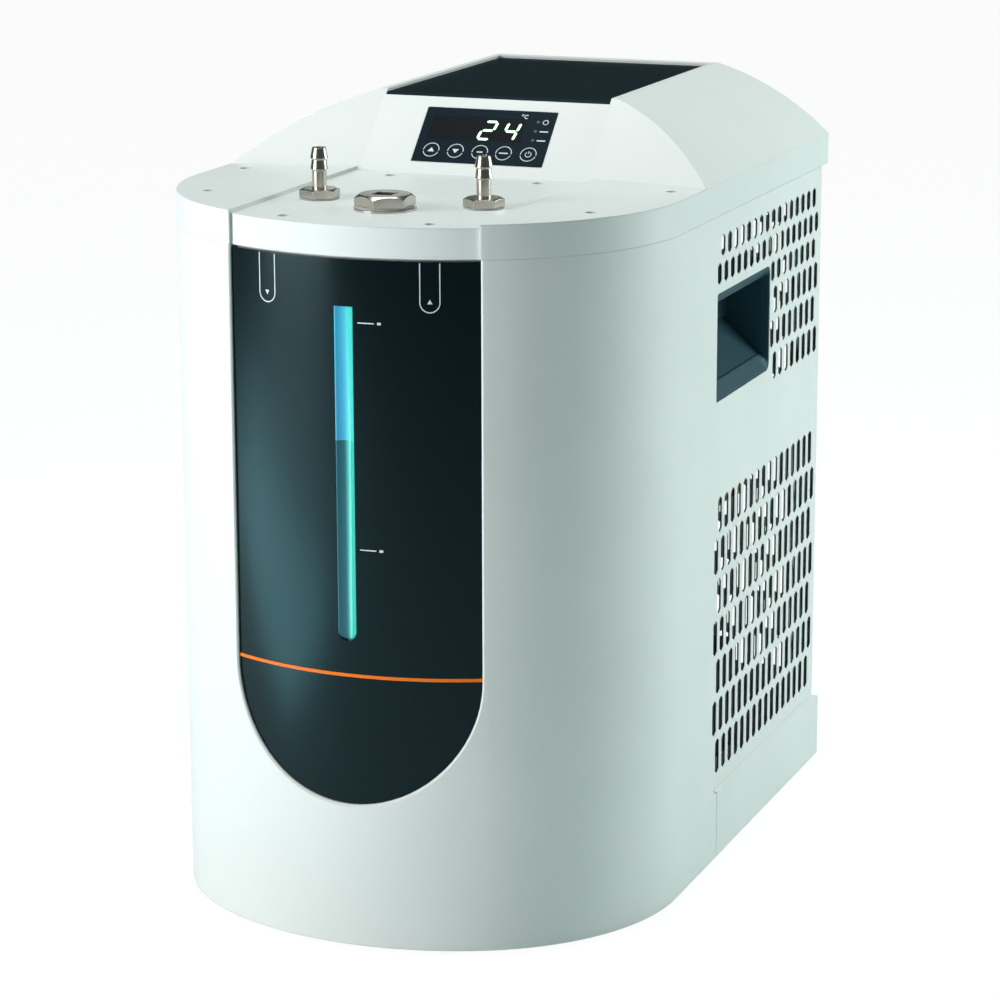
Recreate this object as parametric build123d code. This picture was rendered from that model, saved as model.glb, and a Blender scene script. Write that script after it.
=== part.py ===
from build123d import *
import math
import os

# Bench-top recirculating chiller, in millimetres. X is across the front, Y runs
# from the front to the back and Z is up. The parts are drawn with Y from the
# foremost point of the front, and written with the origin on the floor under the
# middle of the housing.

# Housing
WIDTH = 280.0
FRONT_RADIUS = 162.0
CORNER_RADIUS = 122.0
SIDE_DEPTH = 391.5
BASE_OVERHANG = 14.5
COVER_OVERHANG = 13.0
FOOT_HEIGHT = 3.0
FOOT_SPIGOT = 3.9
BASE_TOP = 44.5
UPSTAND_Y = 199.6
UPSTAND_BEAK = 7.0
UPSTAND_BEVEL = (1.2, 2.8)
SEAM_GAP = 0.4
SEAM_Z = 372.0
DECK_Z = 390.0
TOP_Z = 429.0
WALL = 1.0
MOULDING = 3.0
FIT = 0.2

# Sunk strip that runs from the front window up over the deck
STRIP_HALF = 69.6
STRIP_DEPTH = 2.0
STRIP_BEVEL = 1.2

# Front window and level gauge
WINDOW_THICK = 3.0
WINDOW_LEDGE = 8.0
WINDOW_TOP_GAP = 1.2
WINDOW_ARC_Z = 150.4
STRIPE_HEIGHT = 1.8
GAUGE_WIDTH = 10.4
GAUGE_BOTTOM = 170.0
GAUGE_TOP = 346.5

# Rear hood of the cover, with its sloped face at 45 degrees
FACE_Y = 182.7
FACE_HALF = 68.0
WING_Y = 167.5
SHOULDER_X = 71.0
ARCH_MID_X = 108.0
ARCH_MID_Z = 413.6
HOOD_WALL = 5.0
MAT_HALF = 67.0
MAT_REAR_EDGE = 7.5
MAT_THICK = 1.5
MAT_DROP = 1.5

# Controller in the sloped face
FASCIA_WIDTH = 77.6
FASCIA_HEIGHT = 37.8
FASCIA_RISE = 24.5
FASCIA_THICK = 1.6
FASCIA_PROUD = 0.4
LENS_WIDTH = 55.0
LENS_HEIGHT = 16.4
LENS_X = -5.8
LENS_RISE = 29.2
CONTROLLER_WIDTH = 71.0
CONTROLLER_HEIGHT = 29.0
CONTROLLER_DEPTH = 26.0

# Vents: staggered slots with pointed ends
SLOT_WIDTH = 7.0
SLOT_PITCH = 11.84
SLOT_WEB = 2.8
SLOT_ROWS = 16
VENT_REAR_EDGE = 15.2
UPPER_TOP_Z = 361.3
LOWER_TOP_Z = 214.2
SHORT_SLOT = 12.3
MIDDLE_SLOT = 16.5
LONG_SLOT = 20.6
BESIDE_HANDLE = 8

# Recessed handles
HANDLE_FRONT_Y = 189.5
HANDLE_REAR_Y = 288.2
HANDLE_BOTTOM = 269.0
HANDLE_TOP = 329.0
HANDLE_RIM = (6.0, 1.2, 9.0, 7.0)
HANDLE_DEPTH = 26.0
HANDLE_WALL = 2.5
HANDLE_LIP = 5.0
HANDLE_FLANGE = 1.5
HANDLE_HOOK = 14.0

# Chassis inside the housing
CHASSIS_Z = 370.0
CHASSIS_THICK = 2.0
SHELF_Z = 162.0
POST_RADIUS = 4.0
POST_X = 72.0
POST_Y = (40.0, 150.0)
REAR_POST_X = 126.0
SCREW_RADIUS = 1.5

# Fittings on the deck
NOZZLE_X = 46.7
NOZZLE_Y = 79.5
NOZZLE_HEX = 19.0
NOZZLE_HEX_HEIGHT = 4.2
NOZZLE_LENGTH = 26.4
NOZZLE_SHANK = 3.9
NOZZLE_BORE = 5.0
NOZZLE_THREAD = 12.0
NOZZLE_STEM = 20.0
WASHER = 0.8
FILLER_Y = 58.0
FILLER_HEX = 28.0
FILLER_HEIGHT = 4.4
FILLER_DOME = 1.6
FILLER_BORE = 18.0
FILLER_FLANGE = 33.0
FILLER_STEM = 12.0
KEY_SOCKET = 11.0
SEAL_THICK = 1.2

# Cold side
TANK_HALF = 56.0
TANK_CORNER = 20.0
TANK_FRONT = 11.5
TANK_REAR = 140.0
TANK_TOP = 345.0
TANK_WALL = 3.0
SUCTION_Y = 26.0
PRESSURE_Y = 62.0
FOAM = 6.0
PUMP_Y = 44.0
PUMP_Z = 66.0
PUMP_RADIUS = 31.0
PUMP_LENGTH = 18.0
OUTLET_X = 24.0
OUTLET_Z = 112.0
MOTOR_RADIUS = 27.0

# Refrigerating side
COMPRESSOR_X = 58.0
COMPRESSOR_Y = 250.0
COMPRESSOR_RADIUS = 58.0
COMPRESSOR_TOP = 166.0
BUSH_HEIGHT = 8.0
CONDENSER_X = -133.0
CONDENSER_THICK = 22.0
CONDENSER_BEHIND = 106.5
CONDENSER_Z = 154.0
CONDENSER_WIDTH = 152.0
CONDENSER_HEIGHT = 196.0
FIN_COUNT = 28
FIN_THICK = 0.6
FAN_RADIUS = 70.0
FAN_MOTOR_RADIUS = 24.0
FAN_BLADES = 5
EXCHANGER_X = 78.0
EXCHANGER_TOP = 310.0
WATER_X = 84.0
GAS_X = 98.0
PORT_Z = (178.0, 296.0)
DRIER_X = 121.0
DRIER_Y = 203.0
DRIER_Z = 205.0
DRIER_LENGTH = 60.0

# Rear panel fittings
INLET_X = -56.0
INLET_Z = 82.0
SWITCH_X = -14.0
DRAIN_X = 24.0
DRAIN_Z = 66.0

HALF = WIDTH / 2
BASE_DEPTH = SIDE_DEPTH + BASE_OVERHANG
COVER_DEPTH = SIDE_DEPTH + COVER_OVERHANG
MAT_REAR = COVER_DEPTH - MAT_REAR_EDGE
VENT_REAR_Y = SIDE_DEPTH - VENT_REAR_EDGE
CONDENSER_Y = SIDE_DEPTH - CONDENSER_BEHIND
FLOOR_Z = FOOT_HEIGHT + MOULDING
STRIP_Z = DECK_Z - STRIP_DEPTH
DECK_UNDER = STRIP_Z - MOULDING
NOZZLE_END = STRIP_Z + WASHER - NOZZLE_STEM
WINDOW_TOP = SEAM_Z - WINDOW_TOP_GAP
WINDOW_INNER = STRIP_DEPTH + WINDOW_THICK
PANEL_Y = SIDE_DEPTH - WALL
REAR_POST_Y = PANEL_Y - POST_RADIUS
SLOPE = Plane((0, FACE_Y, DECK_Z), x_dir=(1, 0, 0), z_dir=(0, -1, 1))
NOZZLES = {"return_nozzle": -NOZZLE_X, "supply_nozzle": NOZZLE_X}


def block(x, y, z):
    """Box between two limits on each axis."""
    size = [high - low for low, high in (x, y, z)]
    return Pos(x[0], y[0], z[0]) * Box(*size, align=(Align.MIN,) * 3)


def rod(radius, start, direction, length):
    """Cylinder that starts at a point and runs along a direction."""
    along = Plane(start, z_dir=direction)
    return along * Cylinder(radius, length, align=(Align.CENTER, Align.CENTER, Align.MIN))


def ring(outer, inner, start, direction, length):
    """Cylinder with a hole right through it."""
    return rod(outer, start, direction, length) - rod(inner, start, direction, length)


def hexagon(across, start, length, turn=0.0):
    """Upright hexagonal bar, measured across its flats."""
    sketch = RegularPolygon(across / math.sqrt(3), 6, rotation=turn)
    return extrude(Pos(*start) * sketch, length)


def pipe(radius, bend, *points):
    """Round tube of straight runs joined by tangent bends."""
    route = FilletPolyline(*points, radius=bend)
    return sweep(Plane(route @ 0, z_dir=route % 0) * Circle(radius), path=route)


def plan(inset, rear):
    """Outline of the housing seen from above, drawn in by an inset."""
    centre_x = HALF - CORNER_RADIUS
    drop = FRONT_RADIUS - CORNER_RADIUS
    centre_y = FRONT_RADIUS - math.sqrt(drop**2 - centre_x**2)
    front = FRONT_RADIUS - inset
    corner = CORNER_RADIUS - inset
    across = centre_x / drop
    meet = Vector(front * across, FRONT_RADIUS - front * math.sqrt(1 - across**2))
    middle = (math.asin(across) + math.pi / 2) / 2
    bend = Vector(centre_x + corner * math.sin(middle), centre_y - corner * math.cos(middle))
    side = Vector(HALF - inset, centre_y)
    back = Vector(HALF - inset, rear)

    def mirrored(point):
        return Vector(-point.X, point.Y)

    edges = [
        ThreePointArc(mirrored(meet), Vector(0, inset), meet),
        ThreePointArc(meet, bend, side),
        Line(side, back),
        Line(back, mirrored(back)),
        Line(mirrored(back), mirrored(side)),
        ThreePointArc(mirrored(side), mirrored(bend), mirrored(meet)),
    ]
    return make_face(edges)


def slab(inset, rear, low, high):
    """Solid with the housing's outline between two heights."""
    return extrude(Pos(0, 0, low) * plan(inset, rear), high - low)


def wall_band(outer, inner, rear, low, high):
    """Wall that follows the front and both sides, open at the back."""
    return slab(outer, rear, low, high) - slab(inner, rear + WALL, low, high)


def window_prism(half, top, bottom_z=WINDOW_ARC_Z):
    """Front-to-back prism with the window's outline: straight sides, round bottom."""
    upper = Pos(0, (top + bottom_z) / 2) * Rectangle(2 * half, top - bottom_z)
    outline = upper + Pos(0, bottom_z) * Circle(half)
    return extrude(Plane.XZ * outline, -FRONT_RADIUS / 2)


def slot_sketch(length):
    """Vent slot: straight sides and a blunt point at each end."""
    point = SLOT_WIDTH / 2 * math.tan(math.radians(30))
    x = SLOT_WIDTH / 2
    y = length / 2 - point
    return Polygon(
        (x, y), (0, length / 2), (-x, y), (-x, -y), (0, -length / 2), (x, -y), align=None
    )


def slot_rows(top, lengths, last, limits=None):
    """Places of staggered slots, row by row from the top: across, height, length."""
    places = []
    for row, length in enumerate(lengths):
        middle = top - length / 2
        top -= length + SLOT_WEB
        wide = row % 2
        count = SLOT_ROWS + wide
        if limits and row >= limits[0]:
            count = limits[1]
        for step in range(count):
            places.append((last + wide * SLOT_PITCH / 2 - step * SLOT_PITCH, middle, length))
    return places


def side_vents():
    """Slots cut through both sides at once, above and beside the handles and below them."""
    beside = (2, BESIDE_HANDLE)
    upper = slot_rows(UPPER_TOP_Z, 3 * [SHORT_SLOT] + 3 * [MIDDLE_SLOT], VENT_REAR_Y, beside)
    lower = slot_rows(LOWER_TOP_Z, 7 * [LONG_SLOT], VENT_REAR_Y)
    cuts = []
    for y, z, length in upper + lower:
        cuts.append(extrude(Plane.YZ * Pos(y, z) * slot_sketch(length), HALF + 1, both=True))
    return cuts


def rear_vents():
    """Slots of the rear panel, left out round the sockets and the drain."""
    last = 10 * SLOT_PITCH
    cuts = []
    for x, z, length in slot_rows(UPPER_TOP_Z, 13 * [LONG_SLOT], last):
        for side in (-1, 1) if x > 1 else (1,):
            place = side * x
            if x < -1 or (z < INLET_Z + 42 and -94 < place < 52):
                continue
            sketch = Plane.XZ * Pos(place, z) * slot_sketch(length)
            cuts.append(extrude(sketch, -(SIDE_DEPTH + WALL)))
    return cuts


def base_side_profile(clearance=0.0):
    """Side view of the base's upstand, with its pointed front corner."""
    profile = Polygon(
        (UPSTAND_Y, FOOT_HEIGHT),
        (UPSTAND_Y, BASE_TOP - UPSTAND_BEAK / 2),
        (UPSTAND_Y - UPSTAND_BEAK, BASE_TOP),
        (SIDE_DEPTH, BASE_TOP),
        (BASE_DEPTH, BASE_TOP - 5),
        (BASE_DEPTH, FOOT_HEIGHT),
        align=None,
    )
    return offset(profile, clearance, kind=Kind.INTERSECTION) if clearance else profile


def foot_places():
    """Feet: a narrower pair under the round front and a wider pair at the back."""
    return [(side * x, y) for side in (-1, 1) for x, y in ((78, 62), (112, PANEL_Y - 18))]


def compressor_feet():
    """Corners of the square on which the compressor stands."""
    reach = COMPRESSOR_RADIUS * 0.82
    return [
        (COMPRESSOR_X + i * reach, COMPRESSOR_Y + j * reach) for i in (-1, 1) for j in (-1, 1)
    ]


def base_tray():
    """Floor pan with an upstand round the back that fills the shell's lower corners."""
    upstand = extrude(Plane.YZ * base_side_profile(), HALF, both=True)
    inside = HALF - MOULDING
    upstand -= block((-inside, inside), (0, BASE_DEPTH - MOULDING), (FLOOR_Z, BASE_TOP + 1))
    across, down = UPSTAND_BEVEL
    for side in (-1, 1):
        edge = side * HALF
        bevel = make_face(
            Polyline(
                (edge, BASE_TOP - down), (edge, BASE_TOP + 1), (edge - side * across, BASE_TOP + 1),
                (edge - side * across, BASE_TOP), close=True,
            )
        )
        upstand -= extrude(Plane.XZ * bevel, -BASE_DEPTH)
    tray = upstand + slab(WALL + FIT, BASE_DEPTH, FOOT_HEIGHT, FLOOR_Z)
    return tray - [rod(FOOT_SPIGOT + 0.1, (x, y, 0), (0, 0, 1), BASE_TOP) for x, y in foot_places()]


def rubber_feet():
    """Four feet, each pushed into the floor by its spigot."""
    return Compound(
        children=[
            rod(11, (x, y, 0), (0, 0, 1), FOOT_HEIGHT)
            + rod(FOOT_SPIGOT, (x, y, 0), (0, 0, 1), FLOOR_Z + 1)
            for x, y in foot_places()
        ]
    )


def handle_mouth(grow):
    """Outline of a handle's mouth: tight corners in front, rounder ones behind."""
    low = Vector(HANDLE_FRONT_Y - grow, HANDLE_BOTTOM - grow)
    high = Vector(HANDLE_REAR_Y + grow, HANDLE_TOP + grow)
    size = high - low
    mouth = Pos(*((low + high) / 2)) * Rectangle(size.X, size.Y)
    corners = mouth.vertices().sort_by(Axis.X)
    mouth = fillet(corners[2:], 5 + grow)
    return fillet(mouth.vertices().sort_by(Axis.X)[:2], 1.5 + grow / 2)


def front_shell():
    """Wraparound front and sides, with the window pocket, the vents and the handle openings."""
    shell = wall_band(0, WALL, SIDE_DEPTH, FOOT_HEIGHT, SEAM_Z)
    frame = wall_band(0, WINDOW_INNER + WALL, SIDE_DEPTH, FOOT_HEIGHT, SEAM_Z)
    shell += frame & window_prism(STRIP_HALF + 6, SEAM_Z)
    pocket = window_prism(STRIP_HALF, SEAM_Z + 1)
    shell -= pocket - slab(WINDOW_INNER, SIDE_DEPTH, FOOT_HEIGHT, SEAM_Z + 1)
    shell -= window_prism(STRIP_HALF - WINDOW_LEDGE, WINDOW_TOP - WINDOW_LEDGE)
    outer = shell.edges().filter_by(lambda edge: on_strip_edge(edge, WINDOW_TOP))
    shell = chamfer(outer, STRIP_BEVEL)
    mouth = handle_mouth(FIT)
    shell -= extrude(Plane.YZ * mouth, HALF + 1, both=True)
    shell -= extrude(Plane.YZ * base_side_profile(SEAM_GAP), HALF + 1, both=True)
    return shell - side_vents()


def on_strip_edge(edge, top):
    """True for an edge where the sunk strip meets the outer front surface."""
    spot = edge @ 0.5
    radius = math.hypot(spot.X, spot.Y - FRONT_RADIUS)
    inside = abs(spot.X) < STRIP_HALF + 0.1
    return inside and abs(radius - FRONT_RADIUS) < 0.05 and FOOT_HEIGHT + 1 < spot.Z < top


def front_window():
    """Dark panel in the front recess, slotted for the level gauge."""
    window = wall_band(STRIP_DEPTH, WINDOW_INNER, SIDE_DEPTH, FOOT_HEIGHT, SEAM_Z)
    window &= window_prism(STRIP_HALF - FIT, WINDOW_TOP)
    window -= window_prism(GAUGE_WIDTH / 2, GAUGE_TOP, GAUGE_BOTTOM + GAUGE_WIDTH / 2)
    return window - stripe_band(STRIP_DEPTH - 1)


def stripe_band(outer):
    """Band across the window at the height where its round end begins."""
    top = WINDOW_ARC_Z + STRIPE_HEIGHT
    band = wall_band(outer, STRIP_DEPTH + 0.8, SIDE_DEPTH, WINDOW_ARC_Z, top)
    return band & window_prism(STRIP_HALF - FIT, WINDOW_TOP)


def accent_stripe():
    """Coloured inlay that fills the band across the window."""
    return stripe_band(STRIP_DEPTH - 0.1)


def level_gauge():
    """Clear trough behind the window's slot, against the front of the tank."""
    half = GAUGE_WIDTH / 2 - FIT / 2
    bar = window_prism(half, GAUGE_TOP - FIT / 2, GAUGE_BOTTOM + GAUGE_WIDTH / 2)
    bar &= block((-half, half), (STRIP_DEPTH, TANK_FRONT), (0, SEAM_Z))
    return bar - rod(5.7, (0, STRIP_DEPTH - 3.5, 0), (0, 0, 1), SEAM_Z)


def arch_sketch():
    """Cross-section of the hood: flat top and bowed shoulders down to the deck."""
    sides = []
    for side in (-1, 1):
        foot = Vector(side * HALF, DECK_Z)
        waist = Vector(side * ARCH_MID_X, ARCH_MID_Z)
        sides.append(ThreePointArc(foot, waist, Vector(side * SHOULDER_X, TOP_Z)))
        sides.append(Line(foot, (side * HALF, SEAM_Z)))
    top = Line((-SHOULDER_X, TOP_Z), (SHOULDER_X, TOP_Z))
    return make_face([*sides, top, Line((-HALF, SEAM_Z), (HALF, SEAM_Z))])


def face_cutter(shift, low):
    """Everything in front of the sloped face: its middle is flat and its wings come forward."""
    slant = (FACE_Y - WING_Y) / (HALF - FACE_HALF)
    middle = FACE_Y + low - DECK_Z + shift
    reach = HALF + 20
    wing = middle - slant * (reach - FACE_HALF)
    outline = Polygon(
        (-reach, wing), (-FACE_HALF, middle), (FACE_HALF, middle), (reach, wing),
        (reach, -HALF), (-reach, -HALF), align=None,
    )
    rise = TOP_Z + 5 - low
    return extrude(Pos(0, 0, low) * outline, rise * math.sqrt(2), dir=(0, 1, 1))


def hood(wall):
    """Rear hood of the cover, or with a wall the space inside it."""
    sketch = arch_sketch()
    if wall:
        sketch = offset(sketch, -wall)
    start = Plane((0, 0, 0), x_dir=(1, 0, 0), z_dir=(0, -1, 0))
    solid = extrude(start * sketch, -(COVER_DEPTH - (MOULDING if wall else 0)))
    return solid - face_cutter(wall * math.sqrt(2), SEAM_Z - 1)


def screw_places():
    """Deck screws: four on the side wings and four in the sunk strip."""
    wing = [(125.0, 153.5, DECK_Z), (108.3, 72.4, DECK_Z)]
    strip = [(40.7, 20.8, STRIP_Z), (43.3, 169.0, STRIP_Z)]
    return [(side * x, y, z) for x, y, z in wing + strip for side in (-1, 1)]


def top_cover():
    """Moulded cover: deck with its sunk strip, rim, and the hood over the back."""
    cover = slab(0, COVER_DEPTH, SEAM_Z, DECK_Z) + hood(0)
    sunk = block((-STRIP_HALF, STRIP_HALF), (-1, FACE_Y + 1), (SEAM_Z - 1, DECK_Z + 1))
    sunk -= slab(STRIP_DEPTH, COVER_DEPTH, SEAM_Z - 1, STRIP_Z)
    cover -= sunk & face_cutter(0, SEAM_Z - 2)
    cover -= slab(MOULDING + STRIP_DEPTH, PANEL_Y, SEAM_Z - 1, DECK_UNDER)
    cover -= hood(HOOD_WALL)
    inner = MOULDING + STRIP_DEPTH
    tongue = wall_band(WALL + FIT, inner + 0.5, PANEL_Y - 20, SEAM_Z - 5, SEAM_Z + 4)
    cover += tongue - block((-STRIP_HALF - 9, STRIP_HALF + 9), (-1, 60), (0, DECK_Z))
    floor = TOP_Z - MAT_DROP - MAT_THICK
    cover -= block((-MAT_HALF, MAT_HALF), (FACE_Y, MAT_REAR), (floor, TOP_Z + 1))
    cover -= SLOPE * Pos(0, FASCIA_RISE, -(FASCIA_THICK - FASCIA_PROUD)) * Box(
        FASCIA_WIDTH, FASCIA_HEIGHT, 5, align=(Align.CENTER, Align.CENTER, Align.MIN)
    )
    cover -= SLOPE * Pos(0, FASCIA_RISE, 0) * Box(
        CONTROLLER_WIDTH + FIT, CONTROLLER_HEIGHT + FIT, 30
    )
    bore = NOZZLE_THREAD / 2 + FIT
    cover -= [rod(bore, (x, NOZZLE_Y, SEAM_Z), (0, 0, 1), 40) for x in NOZZLES.values()]
    cover -= rod(FILLER_BORE / 2 + MOULDING + FIT, (0, FILLER_Y, SEAM_Z), (0, 0, 1), 40)
    for x, y, z in screw_places():
        cover += rod(5, (x, y, CHASSIS_Z), (0, 0, 1), DECK_UNDER - CHASSIS_Z + 1)
        cover -= rod(SCREW_RADIUS + FIT, (x, y, CHASSIS_Z), (0, 0, 1), 40)
        cover -= rod(3.1, (x, y, z - 4.5), (0, 0, 1), 10)
    return cover


def top_mat():
    """Dark mat in the flat top of the hood, cut off level with the sloped face."""
    half = MAT_HALF - FIT
    top = TOP_Z - MAT_DROP
    mat = block((-half, half), (FACE_Y, MAT_REAR - FIT), (top - MAT_THICK, top))
    return mat - face_cutter(FIT, SEAM_Z)


def deck_screws():
    """Countersunk deck screws that reach down into the chassis plate."""
    return Compound(
        children=[
            rod(SCREW_RADIUS, (x, y, CHASSIS_Z - CHASSIS_THICK), (0, 0, 1), z - CHASSIS_Z - 2)
            + (rod(2.7, (x, y, z - 4.5), (0, 0, 1), 2.4) - hexagon(2.5, (x, y, z - 3.3), 2))
            for x, y, z in screw_places()
        ]
    )


def display_fascia():
    """Front plate of the controller with its display window."""
    place = SLOPE * Pos(0, FASCIA_RISE, FASCIA_PROUD - FASCIA_THICK)
    sketch = RectangleRounded(FASCIA_WIDTH - FIT, FASCIA_HEIGHT - FIT, 0.8)
    plate = extrude(place * sketch, FASCIA_THICK)
    return plate - lens_block(0)


def lens_block(gap):
    """Block that fills the display window of the front plate, less a gap."""
    place = SLOPE * Pos(LENS_X, LENS_RISE, FASCIA_PROUD - FASCIA_THICK)
    sketch = Rectangle(LENS_WIDTH - gap, LENS_HEIGHT - gap)
    return extrude(place * sketch, FASCIA_THICK - gap / 2)


def display_lens():
    """Smoked lens over the display."""
    return lens_block(FIT / 2)


def controller_housing():
    """Box of the controller behind its front plate."""
    place = SLOPE * Pos(0, FASCIA_RISE, FASCIA_PROUD - FASCIA_THICK)
    size = Align.CENTER, Align.CENTER, Align.MAX
    body = Box(CONTROLLER_WIDTH, CONTROLLER_HEIGHT, CONTROLLER_DEPTH, align=size)
    return place * body


def handle_cup(side):
    """Recessed grip: a dished rim and a pocket that hooks up behind the lip."""
    front, rear, bottom, top = HANDLE_RIM
    y = (HANDLE_FRONT_Y + front, HANDLE_REAR_Y - rear)
    z = (HANDLE_BOTTOM + bottom, HANDLE_TOP - top)
    lip = HALF - HANDLE_LIP
    back = HALF - HANDLE_DEPTH
    roof = z[1] + HANDLE_HOOK - HANDLE_LIP
    pocket = make_face(
        Polyline(
            (lip - 1, z[1]), (lip + 1, z[1]), (lip + 1, z[0]), (lip - 1, z[0]),
            (back, z[0] + lip - back), (back, roof), (lip - 2, roof), (lip - 2, z[1]), close=True,
        )
    )
    shell = offset(pocket, HANDLE_WALL, kind=Kind.INTERSECTION)

    def across(sketch, grow):
        place = Plane((0, y[0] - grow, 0), x_dir=(1, 0, 0), z_dir=(0, -1, 0))
        return extrude(place * sketch, -(y[1] - y[0] + 2 * grow))

    wall = HALF - WALL
    mouth = handle_mouth(-FIT)
    cup = across(shell, min(HANDLE_WALL, rear)) & block((0, lip), (0, COVER_DEPTH), (0, TOP_Z))
    cup += extrude(Plane.YZ.offset(lip - 1) * mouth, HALF - 0.3 - lip + 1)
    cup += extrude(Plane.YZ.offset(lip - 1) * handle_mouth(HANDLE_FLANGE), wall - lip + 1)
    inner = Plane.YZ.offset(lip) * Pos(sum(y) / 2, sum(z) / 2) * Rectangle(y[1] - y[0], z[1] - z[0])
    cup -= loft([inner.face(), (Plane.YZ.offset(HALF - 0.3) * handle_mouth(-0.8)).face()])
    cup -= across(pocket, 0)
    return cup if side > 0 else mirror(cup, Plane.YZ)


def chassis_frame():
    """Welded frame: six posts, a top plate for the cover screws and a tank shelf."""
    low, high = FLOOR_Z, CHASSIS_Z
    plate = slab(WINDOW_INNER + MOULDING, PANEL_Y - 1, high - CHASSIS_THICK, high)
    plate -= block((-62, 62), (32, 155), (0, TOP_Z))
    plate -= [rod(SCREW_RADIUS + 0.1, (x, y, 0), (0, 0, 1), TOP_Z) for x, y, z in screw_places()]
    y = (TANK_FRONT, POST_Y[1] + POST_RADIUS)
    shelf = block((-POST_X - POST_RADIUS, EXCHANGER_X + 34), y, (SHELF_Z - CHASSIS_THICK, SHELF_Z))
    shelf &= slab(WINDOW_INNER + MOULDING, PANEL_Y, low, high)
    shelf -= rod(7, (0, SUCTION_Y, 0), (0, 0, 1), SHELF_Z)
    shelf -= rod(7, (WATER_X, PRESSURE_Y, 0), (0, 0, 1), SHELF_Z)
    frame = plate + shelf
    for x, y in ((POST_X, POST_Y[0]), (POST_X, POST_Y[1]), (REAR_POST_X, REAR_POST_Y)):
        for side in (-1, 1):
            frame += rod(POST_RADIUS, (side * x, y, low), (0, 0, 1), high - low)
    return frame - rear_screw_holes()


def rear_panel():
    """Flat vented sheet between the shell's sides, with holes for what it carries."""
    half = HALF - WALL - FIT
    low_half = HALF - MOULDING - FIT
    panel = block((-half, half), (PANEL_Y, SIDE_DEPTH), (BASE_TOP + SEAM_GAP, SEAM_Z))
    panel += block((-low_half, low_half), (PANEL_Y, SIDE_DEPTH), (FLOOR_Z, BASE_TOP + 1))
    panel -= rear_vents()
    panel -= block((INLET_X - 14, INLET_X + 14), (0, BASE_DEPTH), (INLET_Z - 10.2, INLET_Z + 10.2))
    panel -= block((SWITCH_X - 6.6, SWITCH_X + 6.6), (0, BASE_DEPTH), (INLET_Z - 9.8, INLET_Z + 9.8))
    panel -= rod(6 + FIT / 2, (DRAIN_X, 0, DRAIN_Z), (0, 1, 0), BASE_DEPTH)
    return panel - rear_screw_holes()


def rear_screw_places():
    """Rear screws, near the foot and the head of each rear post."""
    return [(side * REAR_POST_X, z) for side in (-1, 1) for z in (BASE_TOP / 2, SEAM_Z - 8)]


def rear_screw_holes():
    """Cutters for the rear screws, through the panel and into the posts."""
    return [
        rod(SCREW_RADIUS + 0.1, (x, REAR_POST_Y, z), (0, 1, 0), BASE_DEPTH) for x, z in rear_screw_places()
    ]


def rear_screws():
    """Domed screws through the rear panel into the rear posts."""
    return Compound(
        children=[
            rod(SCREW_RADIUS, (x, REAR_POST_Y, z), (0, 1, 0), SIDE_DEPTH - REAR_POST_Y)
            + (rod(3, (x, SIDE_DEPTH, z), (0, 1, 0), 2) - cross_recess(x, SIDE_DEPTH + 2, z))
            for x, z in rear_screw_places()
        ]
    )


def cross_recess(x, y, z):
    """Cutter for a cross-shaped recess in a screw's head."""
    return Pos(x, y, z) * (Box(3, 2, 0.6) + Box(0.6, 2, 3))


def hose_nozzle(x):
    """Hose nozzle with two barbs, a hexagon and a threaded stem through the deck."""
    place = (x, NOZZLE_Y, STRIP_Z + WASHER)
    radius = NOZZLE_THREAD / 2
    tip = NOZZLE_LENGTH
    shank = NOZZLE_SHANK
    profile = [
        (0, -NOZZLE_STEM), (radius, -NOZZLE_STEM), (radius, 0), (shank, 0), (shank, tip - 12.0),
        (shank + 0.7, tip - 11.4), (shank, tip - 6.4), (shank + 0.8, tip - 5.6), (shank - 0.3, tip),
        (0, tip),
    ]
    outline = make_face(Plane.XZ * Polyline(*profile, close=True))
    body = revolve(Pos(*place) * outline, Axis(place, (0, 0, 1)))
    body += chamfered_hexagon(NOZZLE_HEX, place, NOZZLE_HEX_HEIGHT, 0.6, 22 if x > 0 else 35)
    return body - rod(NOZZLE_BORE / 2, (x, NOZZLE_Y, 0), (0, 0, 1), TOP_Z)


def chamfered_hexagon(across, start, height, dome, turn=0.0):
    """Hexagon whose upper corners are turned off to a cone."""
    bar = hexagon(across, start, height + dome, turn)
    reach = across / math.sqrt(3) + 0.1
    high = height + dome
    cone = make_face(
        Polyline((0, 0), (reach, 0), (reach, height - 0.4), (across / 2 - 0.6, high), (0, high), close=True)
    )
    return bar & revolve(Pos(*start) * (Plane.XZ * cone), Axis(start, (0, 0, 1)))


def nozzle_seals():
    """Flat washers between the nozzles and the deck."""
    return Compound(
        children=[
            ring(10.5, NOZZLE_THREAD / 2 + 0.1, (x, NOZZLE_Y, STRIP_Z), (0, 0, 1), WASHER)
            for x in NOZZLES.values()
        ]
    )


def nozzle_nuts():
    """Lock nuts that hold the nozzles from below."""
    bore = NOZZLE_THREAD / 2 + 0.1
    return Compound(
        children=[
            hexagon(17, (x, NOZZLE_Y, DECK_UNDER - 5), 5) - rod(bore, (x, NOZZLE_Y, 0), (0, 0, 1), TOP_Z)
            for x in NOZZLES.values()
        ]
    )


def filler_neck():
    """Flanged neck from the deck down into the tank lid."""
    outer = FILLER_BORE / 2 + MOULDING
    low = TANK_TOP - 8
    neck = rod(outer, (0, FILLER_Y, low), (0, 0, 1), STRIP_Z - low)
    neck += rod(FILLER_FLANGE / 2, (0, FILLER_Y, STRIP_Z), (0, 0, 1), 1)
    return neck - rod(FILLER_BORE / 2, (0, FILLER_Y, 0), (0, 0, 1), TOP_Z)


def filler_seal():
    """Seal ring that lifts with the plug."""
    return ring(15.2, FILLER_BORE / 2 + 0.5, (0, FILLER_Y, STRIP_Z + 1), (0, 0, 1), SEAL_THICK)


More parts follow.
